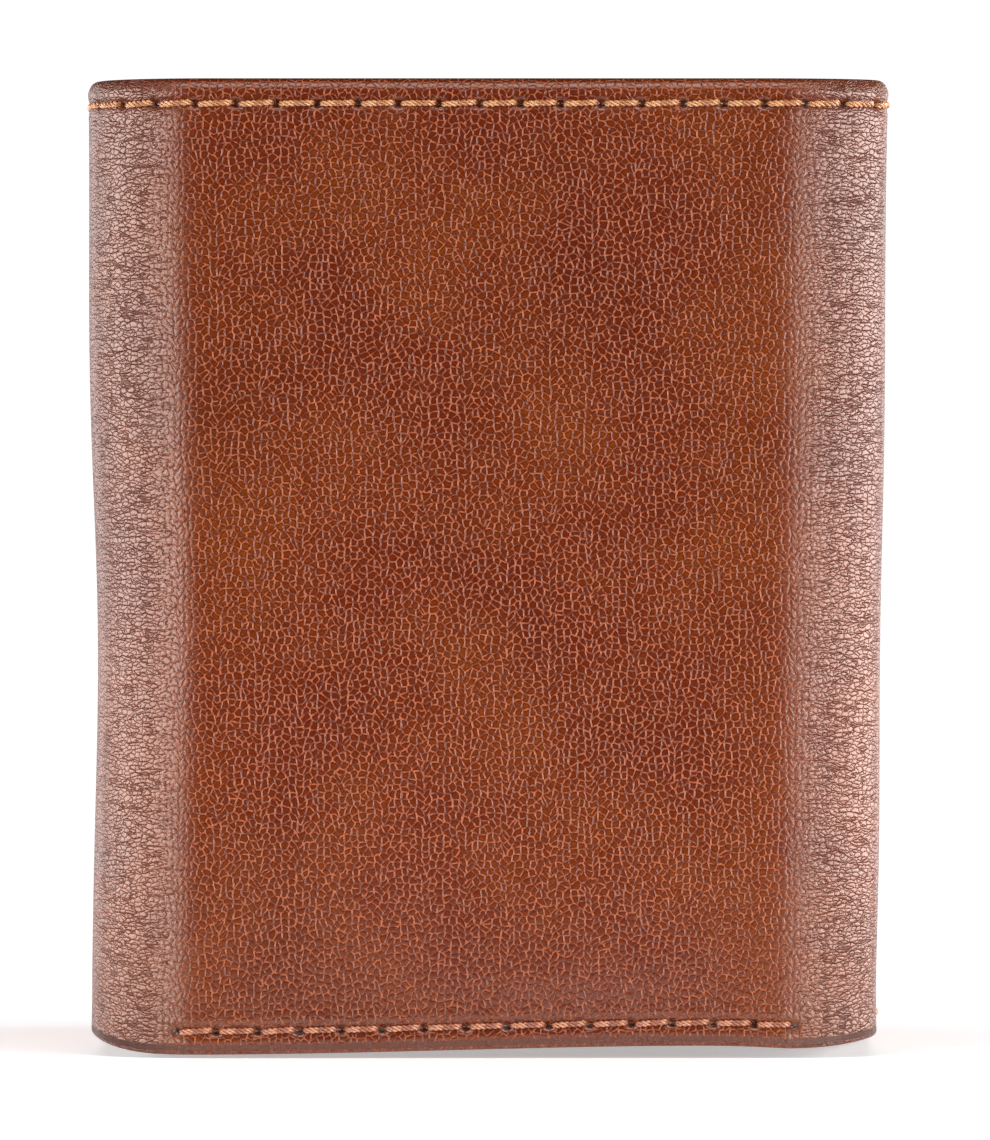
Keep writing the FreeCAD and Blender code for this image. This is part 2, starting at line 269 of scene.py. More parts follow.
def add_mesh(name, points, faces, material, uv, normals=None):
    mesh = bpy.data.meshes.new(name)
    mesh.from_pydata((points * MM).tolist(), [], faces)
    layer = mesh.uv_layers.new(name="developed")
    corners = np.zeros(len(mesh.loops), np.int32)
    mesh.loops.foreach_get("vertex_index", corners)
    layer.data.foreach_set("uv", (uv[corners] * UV_PER_MM).astype(np.float32).ravel())
    mesh.materials.append(material)
    mesh.shade_smooth()
    if normals is not None:
        mesh.normals_split_custom_set_from_vertices(normals.tolist())
    obj = bpy.data.objects.new(name, mesh)
    bpy.context.scene.collection.objects.link(obj)
    return obj


def unit(vectors):
    return vectors / np.maximum(np.linalg.norm(vectors, axis=-1, keepdims=True), 1e-12)


def ladder(z):
    """Triangles that fill a thin upright loop, stepping up its two faces together."""
    count, top = len(z), int(np.argmax(z))
    near = list(range(top + 1))
    far = [0] + list(range(count - 1, top - 1, -1))
    i = j = 0
    rungs = []
    while i < len(near) - 1 or j < len(far) - 1:
        step_near = j == len(far) - 1 or (i < len(near) - 1 and z[near[i + 1]] <= z[far[j + 1]])
        third = near[i + 1] if step_near else far[j + 1]
        if len({near[i], far[j], third}) == 3:
            rungs.append([near[i], third, far[j]])
        i, j = (i + 1, j) if step_near else (i, j + 1)
    return np.array(rungs)


def wall_faces(index):
    """Quads of a tube whose points stand in rings."""
    nxt = np.roll(index, -1, axis=1)
    return np.stack([index[:-1], nxt[:-1], nxt[1:], index[1:]], axis=-1).reshape(-1, 4)


def rounding(gap):
    """Quarter circle from 1 at an edge, where gap is 0, to 0 where it is 1 or more."""
    return 1 - np.sqrt(1 - (1 - np.clip(gap, 0, 1)) ** 2)


class Loft:
    """A closed section swept along s. section(s) gives the loop's s, d and z at each line of s."""

    def __init__(self, lines, section):
        self.lines = lines
        loops = [section(s) for s in lines]
        s, d, z = (np.array([loop[k] for loop in loops]) for k in range(3))
        self.points = place(s, d, z)
        middle = place(s[:, :1], np.mean(d, axis=1, keepdims=True), np.mean(z, axis=1, keepdims=True))
        around = np.roll(self.points, -1, axis=1) - np.roll(self.points, 1, axis=1)
        forward = np.gradient(self.points, axis=0)
        self.normals = unit(np.cross(forward, around))
        steps = np.hypot(np.diff(d, axis=1), np.diff(z, axis=1))
        girth = np.concatenate([np.zeros((len(lines), 1)), np.cumsum(steps, axis=1)], axis=1)
        self.uv = np.stack([s, girth], axis=-1)
        self.ladder = ladder(z[0])
        outwards = np.sum(self.normals * (self.points - middle))
        if outwards < 0:
            self.normals = -self.normals
        self.flipped = outwards < 0

    def piece(self, name, first, last, material):
        """The closed stretch between two lines, capped at both ends."""
        rows = slice(first, last + 1)
        points = self.points[rows]
        count, around = points.shape[:2]
        walls = wall_faces(np.arange(count * around).reshape(count, around))
        rungs = self.ladder
        if self.flipped:
            rungs = rungs[:, ::-1]
        else:
            walls = walls[:, ::-1]
        caps = np.arange(2 * around).reshape(2, around) + count * around
        all_points = np.concatenate([points.reshape(-1, 3), points[0], points[-1]])
        forward = unit(points[1].mean(0) - points[0].mean(0))
        last_forward = unit(points[-1].mean(0) - points[-2].mean(0))
        normals = np.concatenate([self.normals[rows].reshape(-1, 3), np.tile(-forward, (around, 1)),
                                  np.tile(last_forward, (around, 1))])
        uv = self.uv[rows]
        all_uv = np.concatenate([uv.reshape(-1, 2), uv[0], uv[-1]])
        faces = walls.tolist() + caps[0][rungs].tolist() + caps[1][rungs[:, ::-1]].tolist()
        return add_mesh(name, all_points, faces, material, all_uv, normals)


def corner_inset(z, radius):
    """How far a rounded corner stands back from the free edge at each height."""
    reach = np.maximum(np.maximum(radius - z, z - (HEIGHT - radius)), 0)
    return radius - np.sqrt(np.maximum(radius * radius - np.minimum(reach, radius) ** 2, 0))


def round_corners(s, z):
    """Moves points near a flap's free edge back round its corners."""
    side = OUTER if s < 0 else INNER
    share = smooth((abs(s) - (side.tip - CORNER_REACH)) / CORNER_REACH)
    return s - side.sign * corner_inset(z, FLAP_CORNER) * share


def free_edge(s):
    """How much the faces draw in at a flap's free edge, from 0 to 1."""
    side = OUTER if s < 0 else INNER
    return rounding((side.tip - abs(s)) / ARRIS)


# Rows of stitches
class Row:
    """A straight row of stitches in the s, z plane between two points, with its holes."""

    def __init__(self, start, stop):
        self.start = np.array(start, float)
        self.stop = np.array(stop, float)
        length = np.linalg.norm(self.stop - self.start)
        self.count = max(1, round(length / PITCH))
        self.direction = (self.stop - self.start) / length
        self.pitch = length / self.count
        self.level = abs(self.direction[0]) > 0.5

    def middles(self):
        steps = (np.arange(self.count) + 0.5) * self.pitch
        return self.start + steps[:, None] * self.direction

    def sink(self, s, z):
        """Depth of the groove and needle holes that the row presses into the leather."""
        along = (s - self.start[0]) * self.direction[0] + (z - self.start[1]) * self.direction[1]
        across = np.hypot(s - self.start[0] - along * self.direction[0],
                          z - self.start[1] - along * self.direction[1])
        length = self.count * self.pitch
        inside = smooth(along / 0.8 + 0.5) * smooth((length - along) / 0.8 + 0.5)
        phase = along / self.pitch
        to_hole = np.abs(phase - np.round(phase)) * self.pitch
        hole = bell(to_hole / 0.55) * bell(across / 0.42)
        groove = bell(across / 0.5)
        pillow = bell((across - 1.25) / 0.6) * (0.6 - 0.4 * bell(to_hole / 1.0))
        return inside * (0.20 * groove + 0.55 * hole - 0.09 * pillow)


top_row = Row((-OUTER.tip + EDGE_ROW, TOP_ROW_Z), (INNER.tip - EDGE_ROW, TOP_ROW_Z))
back_row = Row((-POCKET_HALF + ROW_END, BOTTOM_ROW_Z), (POCKET_HALF - ROW_END, BOTTOM_ROW_Z))
flap_rows = {}
edge_rows = {}
for side in SIDES:
    inner_end = side.cuts[4] - 2.0
    outer_end = side.tip - EDGE_ROW
    flap_rows[side.name] = Row(*sorted([(side.sign * inner_end, BOTTOM_ROW_Z),
                                        (side.sign * outer_end, BOTTOM_ROW_Z)]))
    edge_rows[side.name] = Row((side.sign * outer_end, BOTTOM_ROW_Z), (side.sign * outer_end, TOP_ROW_Z))
OUTSIDE_ROWS = [top_row, back_row, *flap_rows.values(), *edge_rows.values()]


def outside_sink(s, z):
    return sum(row.sink(s, z) for row in OUTSIDE_ROWS)


def stitch_points(row, depth, facing, rng):
    """Plies of every stitch of a row as grids of s, d, z, length along the stitch and angle round the ply.
    facing is -1 on an outer face and 1 on an inner one."""
    grids = []
    t = np.linspace(-1, 1, RINGS)
    ring = np.arange(RING_POINTS) * 2 * math.pi / RING_POINTS
    for s0, z0 in row.middles():
        slant = SLANT + rng.uniform(-SLANT_SPREAD, SLANT_SPREAD)
        start_turn = rng.uniform(0, 2 * math.pi)
        half = STITCH / 2 * rng.uniform(0.96, 1.04)
        rise = STITCH_RISE * rng.uniform(0.85, 1.15) - FOLD_PULL * bell((abs(s0) - OUTER.end) / 5)
        along = t * (half + STITCH_OVERLAP)
        lift = rise - (rise + STITCH_DIVE) * np.abs(t) ** 7
        across = slant * along
        for ply in range(PLIES):
            turn = start_turn + 2 * math.pi * (ply / PLIES + along / PLY_PITCH)
            squeeze = 1 - 0.35 * np.abs(t) ** 6
            centre_across = across + PLY_SPREAD * squeeze * np.cos(turn)
            centre_lift = lift + PLY_SPREAD * 0.8 * squeeze * np.sin(turn)
            radius = PLY_RADIUS * squeeze
            out = centre_lift[:, None] + radius[:, None] * np.sin(ring)
            side = centre_across[:, None] + radius[:, None] * np.cos(ring)
            go = np.repeat(along[:, None], RING_POINTS, axis=1)
            if row.level:
                s, z = s0 + go * np.sign(row.direction[0]), z0 + side
            else:
                s, z = s0 + side, z0 + go
            grids.append((s, depth + facing * out, z, go, np.broadcast_to(ring, go.shape)))
    return grids


def thread_piece(name, grids, material):
    """One mesh of many closed ply tubes."""
    points, faces, uv = [], [], []
    base = 0
    for s, d, z, go, ring in grids:
        points.append(place(s, d, z).reshape(-1, 3))
        uv.append(np.stack([go, ring * PLY_RADIUS], axis=-1).reshape(-1, 2))
        index = base + np.arange(s.size).reshape(s.shape)
        faces += wall_faces(index).tolist()
        faces += [index[0][::-1].tolist(), index[-1].tolist()]
        base += s.size
    obj = add_mesh(name, np.concatenate(points), faces, material, np.concatenate(uv))
    fix_normals(obj)
    return obj


def fix_normals(obj):
    bm = bmesh.new()
    bm.from_mesh(obj.data)
    bmesh.ops.recalc_face_normals(bm, faces=bm.faces)
    bm.to_mesh(obj.data)
    bm.free()


# Materials
COVER_Z = graded(ARRIS, HEIGHT - HEM_CROWN, 0.8, [(BOTTOM_ROW_Z, 2.2, 0.2), (TOP_ROW_Z, 2.2, 0.2)])
# The stretched zone over each fold, where the grain is drawn out, also carries painted shade in its grooves.
FOLD_STRETCH = (HALF - 13, HALF - 5, OUTER.end - 4, OUTER.end + 16)  # s where the drawn grain comes and goes
SHEEN_TINT = (1.0, 0.86, 0.78, 1)


class Graph:
    """A node material, built one node at a time."""

    def __init__(self, name):
        self.material = bpy.data.materials.new(name)
        self.material.use_nodes = True
        self.tree = self.material.node_tree
        self.shader = self.tree.nodes["Principled BSDF"]

    def node(self, kind, inputs=(), **settings):
        made = self.tree.nodes.new(kind)
        for key, value in settings.items():
            setattr(made, key, value)
        for key, value in dict(inputs).items():
            self.feed(made.inputs[key], value)
        return made

    def feed(self, socket, value):
        """Links a socket to another, or sets it to a plain value."""
        if isinstance(value, bpy.types.NodeSocket):
            self.tree.links.new(value, socket)
        else:
            socket.default_value = value

    def math(self, operation, a, b=0.0, c=0.0):
        return self.node("ShaderNodeMath", {0: a, 1: b, 2: c}, operation=operation).outputs[0]

    def times(self, a, b):
        return self.math("MULTIPLY", a, b)

    def times_plus(self, a, b, c):
        return self.math("MULTIPLY_ADD", a, b, c)

    def vector_math(self, operation, a, b):
        return self.node("ShaderNodeVectorMath", {0: a, 1: b}, operation=operation).outputs[0]

    def remap(self, value, low_in, high_in, low_out=0.0, high_out=1.0):
        """Moves a range onto another with soft ends."""
        made = self.node("ShaderNodeMapRange", {0: value, 1: low_in, 2: high_in, 3: low_out, 4: high_out},
                         interpolation_type="SMOOTHSTEP")
        return made.outputs[0]

    def mix(self, share, a, b):
        return self.node("ShaderNodeMix", {0: share, 6: a, 7: b}, data_type="RGBA").outputs[2]

    def uv(self, scale):
        """Developed coordinates, scaled so that one unit is that many millimetres."""
        source = self.node("ShaderNodeUVMap", uv_map="developed").outputs[0]
        factor = 1 / (UV_PER_MM * scale)
        return self.vector_math("MULTIPLY", source, (factor,) * 3)

    def noise(self, vector, scale=1.0, detail=3.0, roughness=0.5, output=0):
        inputs = {"Vector": vector, "Scale": scale, "Detail": detail, "Roughness": roughness}
        return self.node("ShaderNodeTexNoise", inputs).outputs[output]

    def warped(self, vector, size, amount):
        """The vector pushed about by soft noise, so that straight cell walls wander."""
        push = self.noise(vector, size, 2.0, output=1)
        centred = self.vector_math("SUBTRACT", push, (0.5, 0.5, 0.5))
        return self.vector_math("ADD", vector, self.vector_math("MULTIPLY", centred, (amount,) * 3))

    def cells(self, vector, randomness=1.0):
        """Distance from the walls between irregular cells, in cells."""
        made = self.node("ShaderNodeTexVoronoi", {"Vector": vector, "Scale": 1.0, "Randomness": randomness},
                         voronoi_dimensions="2D", feature="DISTANCE_TO_EDGE")
        return made.outputs["Distance"]

    def bump(self, height, distance):
        inputs = {"Height": height, "Distance": distance, "Strength": 1.0}
        return self.node("ShaderNodeBump", inputs).outputs[0]

    def set(self, **inputs):
        """Sets the shader's sockets, named with _ for each space."""
        for key, value in inputs.items():
            self.feed(self.shader.inputs[key.replace("_", " ")], value)


def needle_hole_shade(g, at, row):
    """Share of painted shade: 1 in the needle holes of a level row on the cover's outer face, and 0
    elsewhere.
    """
    phase = g.times_plus(at.outputs[0], 1 / row.pitch, -row.start[0] / row.pitch)
    off = g.math("PINGPONG", phase, 0.5)
    along = g.times(off, row.pitch)
    across = g.math("ADD", at.outputs[1], COVER_Z[1] - row.start[1])  # the girth starts at COVER_Z[1]
    square = g.math("ADD", g.math("POWER", g.times(along, 0.8), 2.0), g.math("POWER", across, 2.0))
    far = g.math("SQRT", square)
    before = g.math("GREATER_THAN", at.outputs[0], row.start[0] - 0.5)
    after = g.math("LESS_THAN", at.outputs[0], row.stop[0] + 0.5)
    return g.times(g.remap(far, 0.15, 0.52, 0.8, 0.0), g.times(before, after))


def grain_leather(name, top, line, warm, dark, groove, cell=0.78, relief=0.085):
    """Pebbled leather. Its cells are dark with paler lines between them, painted highlight along the cell
    walls, and over the folds, where the leather is stretched, they are drawn out and the lines are grooves
    darkened with painted shade. Slow patches vary the dye."""
    g = Graph(name)
    at = g.node("ShaderNodeSeparateXYZ", {0: g.uv(1.0)})
    along = g.math("ABSOLUTE", at.outputs[0])
    bend_in = g.remap(along, FOLD_STRETCH[0], FOLD_STRETCH[1])
    bend_out = g.remap(along, FOLD_STRETCH[2], FOLD_STRETCH[3], 1.0, 0.0)
    bend = g.times(bend_in, bend_out)
    flat = g.math("SUBTRACT", 1.0, bend)

    # Grain: pebbles on the panels, and wavy and drawn-out cells on the folds
    fine = g.uv(1.0)
    pebble = g.cells(g.warped(g.uv(cell), 1.6, 0.40), 0.85)
    drawn_cells = g.cells(g.warped(g.vector_math("MULTIPLY", g.uv(cell), (1.0, 1.7, 1.0)), 0.9, 0.9))
    wavy_noise = g.noise(g.vector_math("MULTIPLY", fine, (0.42, 1.05, 1.0)), 1.0, 1.5, 0.45)
    wavy = g.times(g.math("ABSOLUTE", g.math("SUBTRACT", wavy_noise, 0.5)), 5.5)
    drawn = g.math("MINIMUM", wavy, g.times_plus(drawn_cells, 1.0, 0.04))
    edge = g.math("ADD", g.times(pebble, flat), g.times(drawn, bend))
    pebble_line = g.remap(pebble, 0.0, 0.16, 0.85, 0.0)
    # painted shade: a dark rim just inside each cell, next to the pale lines, so that the lines look raised
    rim_shade = g.remap(pebble, 0.14, 0.34, 0.8, 0.0)
    fade = g.remap(g.noise(g.uv(0.6), 1.0, 3.0, 0.6), 0.38, 0.64, 0.15, 1.0)
    # line_share is where the painted highlight of the lines goes
    line_share = g.times(g.times(pebble_line, fade), flat)
    # painted shade in the drawn-out grooves over the folds
    groove_shade = g.times(g.remap(drawn, 0.0, 0.13, 0.82, 0.0), bend)

    # Relief, less of it on the panels
    pores = g.noise(fine, 4.5, 3.0, 0.6)
    small = g.cells(g.warped(g.uv(cell * 0.42), 1.3, 0.6), 0.9)
    height = g.times_plus(g.remap(edge, 0.0, 0.45), 0.35, g.remap(edge, 0.0, 0.14))
    height = g.times_plus(pores, 0.09, height)
    height = g.times_plus(g.remap(small, 0.0, 0.25), 0.07, height)
    height = g.times(height, g.times_plus(bend, 0.65, 0.35))

    # Colour: patches, streaks, a warm stretch beside each fold, speckle, painted shade round the cells,
    # painted highlight on the lines, and painted shade in the fold grooves and needle holes
    patches = g.remap(g.noise(g.uv(24.0), 1.0, 3.0, 0.55), 0.38, 0.66)
    streak = g.noise(g.warped(g.uv(30.0), 0.7, 0.8), 1.0, 2.0, 0.5)
    tone = g.mix(patches, top, warm)
    tone = g.mix(g.remap(streak, 0.45, 0.70, 0.0, 0.7), tone, dark)
    # a warmer stretch beside each fold, strongest near the bottom edge and broken up by noise
    fold_side_warmth = g.times(g.remap(along, 20.0, 33.0), g.remap(at.outputs[1], 10.0, 60.0, 0.95, 0.25))
    warmth_breakup = g.noise(g.uv(9.0), 1.0, 3.0)
    fold_side_warmth = g.times(fold_side_warmth, g.remap(warmth_breakup, 0.35, 0.6, 0.3, 1.0))
    tone = g.mix(g.times(fold_side_warmth, g.remap(along, 44.0, 60.0, 1.0, 0.0)), tone, warm)
    speckle = g.remap(g.noise(fine, 2.4, 3.0), 0.35, 0.70, 0.0, 0.55)
    tone = g.mix(speckle, tone, dark)
    # painted shade round each cell, beside the pale lines
    tone = g.mix(g.times(rim_shade, flat), tone, dark)
    # painted highlight: the pale network of lines along the cell walls
    tone = g.mix(line_share, tone, line)
    # painted shade darkens the grooves over the folds
    tone = g.mix(groove_shade, tone, groove)
    # painted shade: near black in the needle holes of the hem and back rows
    for row in (top_row, back_row):
        tone = g.mix(needle_hole_shade(g, at, row), tone, (0.012, 0.003, 0.001, 1))

    # Gloss: smooth pebbles, and matter lines and grooves
    roughness = g.times_plus(g.noise(g.uv(3.0), 1.0, 3.0), 0.10, 0.17)
    roughness = g.times_plus(bend, 0.12, roughness)
    roughness = g.times_plus(line_share, 0.18, roughness)
    gloss = g.times_plus(groove_shade, -0.85, 1.0)
    gloss = g.times_plus(g.times(pebble_line, flat), -1.10, gloss)
    g.set(Base_Color=tone, Roughness=roughness, Normal=g.bump(height, relief * MM), Specular_IOR_Level=gloss,
          Specular_Tint=SHEEN_TINT)
    return g.material


def smooth_leather(name, base, dark, line):
    """Fine-grained inside leather, matter than the outside, with a faint pale network along its cell walls
    that is painted highlight.
    """
    g = Graph(name)
    edge = g.cells(g.warped(g.uv(0.80), 1.3, 0.45), 0.85)
    small = g.cells(g.warped(g.uv(0.35), 1.3, 0.5), 0.9)
    pores = g.noise(g.uv(1.0), 4.0, 3.0, 0.6)
    height = g.times_plus(pores, 0.15, g.remap(edge, 0.0, 0.22))
    height = g.times_plus(g.remap(small, 0.0, 0.25), 0.15, height)
    patches = g.remap(g.noise(g.uv(18.0), 1.0, 3.0), 0.35, 0.7, 0.0, 0.55)
    tone = g.mix(patches, base, dark)
    fade = g.remap(g.noise(g.uv(0.9), 1.0, 3.0), 0.35, 0.65, 0.0, 0.65)
    # painted highlight: a faint pale network along the cell walls
    tone = g.mix(g.times(g.remap(edge, 0.0, 0.16, 1.0, 0.0), fade), tone, line)
    roughness = g.times_plus(g.noise(g.uv(2.5), 1.0, 3.0), 0.16, 0.34)
    g.set(Base_Color=tone, Roughness=roughness, Normal=g.bump(height, 0.05 * MM), Specular_IOR_Level=0.7,
          Specular_Tint=SHEEN_TINT)
    return g.material


def twill(name, base, dark):
    """Woven lining: a fine diagonal rib."""
    g = Graph(name)
    weave = g.node("ShaderNodeTexWave", {"Vector": g.uv(1.0), "Scale": 0.55, "Distortion": 0.6, "Detail": 2.0,
                                         "Detail Scale": 2.0}, bands_direction="DIAGONAL")
    weft = g.node("ShaderNodeTexWave", {"Vector": g.uv(1.0), "Scale": 0.8, "Distortion": 0.4})
    height = g.times_plus(weft.outputs[1], 0.4, g.times(weave.outputs[1], 0.6))
    tone = g.mix(g.remap(height, 0.2, 0.8), dark, base)
    g.set(Base_Color=tone, Roughness=0.82, Normal=g.bump(height, 0.06 * MM), Sheen_Weight=0.25,
          Sheen_Roughness=0.5, Specular_IOR_Level=0.3)
    return g.material


def waxed_thread(name, base, pale, dark):
    """Twisted thread: fine strands along each ply with painted shade between them, and pale blotches."""
    g = Graph(name)
    wave = g.node("ShaderNodeTexWave", {"Vector": g.uv(1.0), "Scale": 2.2, "Distortion": 1.0, "Detail": 2.0},
                  bands_direction="DIAGONAL")
    strands = wave.outputs[1]
    blotch = g.noise(g.uv(1.0), 1.2, 2.0)
    tone = g.mix(g.remap(blotch, 0.35, 0.65), base, pale)
    # painted shade between the strands of each ply
    tone = g.mix(g.remap(strands, 0.2, 0.6, 0.45, 0.0), tone, dark)
    g.set(Base_Color=tone, Roughness=0.30, Normal=g.bump(strands, 0.05 * MM), Specular_IOR_Level=0.8,
          Coat_Weight=0.6, Coat_Roughness=0.2)
    return g.material


def clear_plastic(name):
    """Clear sheet, faintly yellowed, with light scratches from cards."""
    g = Graph(name)
    scratches = g.noise(g.uv(6.0), 1.0, 5.0, 0.7)
    g.set(Base_Color=(0.72, 0.69, 0.65, 1), Roughness=g.remap(scratches, 0.4, 0.75, 0.05, 0.16),
          Alpha=0.22, Specular_IOR_Level=1.0, Coat_Weight=1.0, Normal=g.bump(scratches, 0.004 * MM))
    return g.material


# line is painted highlight along the cell walls, dark is the dye's dark tone and also painted shade round the
# cells, and groove is painted shade in the grooves over the folds
COVER_LEATHER = grain_leather("cover_leather", top=(0.112, 0.0120, 0.0005, 1), line=(0.43, 0.115, 0.042, 1),
                              warm=(0.175, 0.033, 0.0008, 1), dark=(0.062, 0.0052, 0.0005, 1),
                              groove=(0.060, 0.012, 0.007, 1))
# line is painted highlight along the cell walls
INSIDE_LEATHER = smooth_leather("inside_leather", base=(0.165, 0.030, 0.008, 1),
                                dark=(0.085, 0.013, 0.005, 1), line=(0.33, 0.080, 0.025, 1))
LINING = twill("lining_twill", (0.075, 0.026, 0.014, 1), (0.025, 0.009, 0.006, 1))
CLEAR = clear_plastic("clear_sheet")
# dark is painted shade between the strands
THREAD_TAN = waxed_thread("thread_tan", base=(0.42, 0.13, 0.026, 1), pale=(0.78, 0.38, 0.15, 1),
                          dark=(0.12, 0.020, 0.004, 1))
THREAD_RUST = waxed_thread("thread_rust", base=(0.28, 0.052, 0.014, 1), pale=(0.72, 0.30, 0.15, 1),
                           dark=(0.10, 0.012, 0.004, 1))


# Cover, with its hem turned in along the top
def cover_section(s):
    """Outer face, roll over the top, hem inside, and the flesh side down to the bottom edge."""
    z_out = COVER_Z
    d_out = outside_sink(np.full_like(z_out, s), z_out) - 0.08 * bell((z_out - HEIGHT + 1.5) / 1.2)
    roll = np.linspace(0, math.pi, 11)[1:-1]
    z_roll = HEIGHT - HEM_CROWN + HEM_CROWN * np.sin(roll)
    d_roll = HEM_ROLL - HEM_ROLL * np.cos(roll)
    z_hem = np.array([HEIGHT - HEM_CROWN, TOP_ROW_Z + 0.6, TOP_ROW_Z, TOP_ROW_Z - 0.6, 103.5, 101.8,
                      HEM_BOTTOM + 0.2])
    d_hem = HEM_DEPTH - np.array([0.0, 0.02, 0.12, 0.02, 0.0, 0.02, 0.12])
    z_lip = np.array([HEM_BOTTOM, HEM_BOTTOM + 0.1, HEM_BOTTOM + 1.8, HEM_BOTTOM + 2.4])
    d_lip = np.array([HEM_DEPTH - 0.35, LINING_IN + 0.06, LINING_IN + 0.06, COVER])
    z_in = np.linspace(HEM_BOTTOM, ARRIS, 14)
    d_in = np.full_like(z_in, COVER)
    arris = np.linspace(0, math.pi / 2, 5)
    z_bottom = np.concatenate([[0.25, 0.0], ARRIS * (1 - np.cos(arris))])
    d_bottom = np.concatenate([[COVER - 0.05, COVER - 0.3], ARRIS * (1 - np.sin(arris))])
    z = np.concatenate([z_out[1:], z_roll, z_hem, z_lip, z_in, z_bottom])
    d = np.concatenate([d_out[1:], d_roll, d_hem, d_lip, d_in, d_bottom])
    draw = free_edge(s)
    d = np.where(d < COVER * 0.6, d + draw * 0.5, d - draw * 0.2)
    return round_corners(s, z), d, z


STOPS = [-OUTER.tip, *[-c for c in reversed(OUTER.cuts)], *INNER.cuts, INNER.tip]


def cut_lines(step, spots=()):
    """Lines of s from tip to tip, with one on every cut between pieces."""
    lines = [np.array([STOPS[0]])]
    cuts = [0]
    for a, b in zip(STOPS, STOPS[1:]):
        stretch = graded(a, b, step, spots)
        lines.append(stretch[1:])
        cuts.append(cuts[-1] + len(stretch) - 1)
    return np.concatenate(lines), cuts


def blend_ends(side, k):
    """Where the k-th bending stretch of a fold starts and ends its turn, so that its cut ends stay whole."""
    corners = []
    for s in (side.cuts[k], side.cuts[k + 1]):
        x, v, nx, nv = side.plan(np.array([s]))
        corners.append((np.array([x[0], v[0]]), np.array([nx[0], nv[0]])))
    (p, p_normal), (q, q_normal) = corners
    chord = (q - p) / np.linalg.norm(q - p)
    p = p + chord * max(0.0, float(p_normal @ chord)) * SHELL_REACH
    q = q - chord * max(0.0, float(-(q_normal @ chord))) * SHELL_REACH
    return [(side.sign * a[0] * MM, (BACK + a[1]) * MM, HEIGHT / 2 * MM) for a in (p, q)]


def chain(side):
    return ["centre_panel", *[f"{side.name}_fold_{n}" for n in (1, 2, 3)], f"{side.name}_flap"]


def stretches():
    """Every stretch of the wallet from tip to tip, as (label, side, number of the bend or None, body)."""
    outer = [(f"outer_fold_{k + 1}", OUTER, k, None) for k in (3, 2, 1, 0)]
    inner = [(f"inner_fold_{k + 1}", INNER, k, None) for k in (0, 1, 2, 3)]
    return [("outer_flap", OUTER, None, "outer_flap"), *outer, ("centre", OUTER, None, "centre_panel"),
            *inner, ("inner_flap", INNER, None, "inner_flap")]


def hold(piece, stretch, replaced):
    """Makes a piece follow its body; a bending stretch only has its transform baked into its mesh."""
    label, side, bend, body = stretch
    if bend is None:
        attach(piece, body)
    else:
        bodies = chain(side)
        start, end = blend_ends(side, bend)
        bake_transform(piece)
        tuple(start)
        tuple(end)
    nodes = [n for n in replaced(label) if n in frame["nodes"]]
    if nodes:
        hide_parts(*nodes)


def band(suffix, section, material, step, replaced, spots=()):
    """One layer that runs from tip to tip, cut into a piece for each stretch."""
    lines, cuts = cut_lines(step, spots)
    loft = Loft(lines, section)
    for number, stretch in enumerate(stretches()):
        piece = loft.piece(f"{stretch[0]}_{suffix}", cuts[number], cuts[number + 1], material)
        hold(piece, stretch, replaced)


# Finer lines at both free edges and along their stitches, as (place, half width, step)
TIP_SPOTS = [(-OUTER.tip, 1.0, 0.12), (INNER.tip, 1.0, 0.12),
             (-OUTER.tip + EDGE_ROW, 1.6, 0.25), (INNER.tip - EDGE_ROW, 1.6, 0.25)]

band("cover_leather", cover_section, COVER_LEATHER, 0.42,
     lambda label: [f"{label}_cover", f"{label}_leather", f"{label}_board"], TIP_SPOTS)


# Threads on the outside
def rng_for(name):
    """A random generator seeded by a name."""
    return np.random.default_rng(sum(ord(c) * (i + 1) for i, c in enumerate(name)))


def stretch_of(s):
    number = int(np.clip(np.searchsorted(STOPS, s) - 1, 0, len(STOPS) - 2))
    return stretches()[number]


def thread_row(suffix, row, layers, material, replaced):
    """Stitches of one row on faces given as (depth, facing), cut into a piece for each stretch."""
    grids = {}
    for number, (depth, facing) in enumerate(layers):
        for k, grid in enumerate(stitch_points(row, depth, facing, rng_for(f"{suffix}{number}"))):
            middle = row.middles()[k // PLIES][0]
            grids.setdefault(stretch_of(middle), []).append(grid)
    for stretch, found in grids.items():
        piece = thread_piece(f"{stretch[0]}_{suffix}_stitches", found, material)
        hold(piece, stretch, replaced)


thread_row("top_thread", top_row, [(HEM_BED, -1), (HEM_DEPTH - INSIDE_BED, 1)], THREAD_TAN,
           lambda label: [f"{label}_top_thread", f"{label}_thread"])
thread_row("bottom_thread", back_row, [(OUTSIDE_BED, -1)], THREAD_RUST,
           lambda label: [f"{label}_bottom_thread"])
for side in SIDES:
    thread_row("bottom_thread", flap_rows[side.name], [(OUTSIDE_BED, -1)], THREAD_TAN,
               lambda label: [f"{label}_bottom_thread"])
    thread_row("edge_thread", edge_rows[side.name], [(OUTSIDE_BED, -1)], THREAD_TAN,
               lambda label: [f"{label}_edge_thread", f"{label}_pocket_thread"])


# Inside layers
def last_crease(side):
    """Developed place of the crease beside the flap."""
    return (side.cuts[3] + side.cuts[4]) / 2


def pocket_start(side):
    """Developed place of the flap pockets' ends beside the fold."""
    inset = low(f"{side.name}_flap_slip_pocket").y - CREASES[f"{side.name}_front_crease"][1]
    return last_crease(side) + inset


def sewn_border(s, z, start, stop, bottom):
    """1 on the sewn border of a pocket between two ends of s, and 0 inside it."""
    gap = np.minimum(np.minimum(s - start, stop - s), z - bottom)
    return 1 - smooth((gap - SEAM) / 1.0)


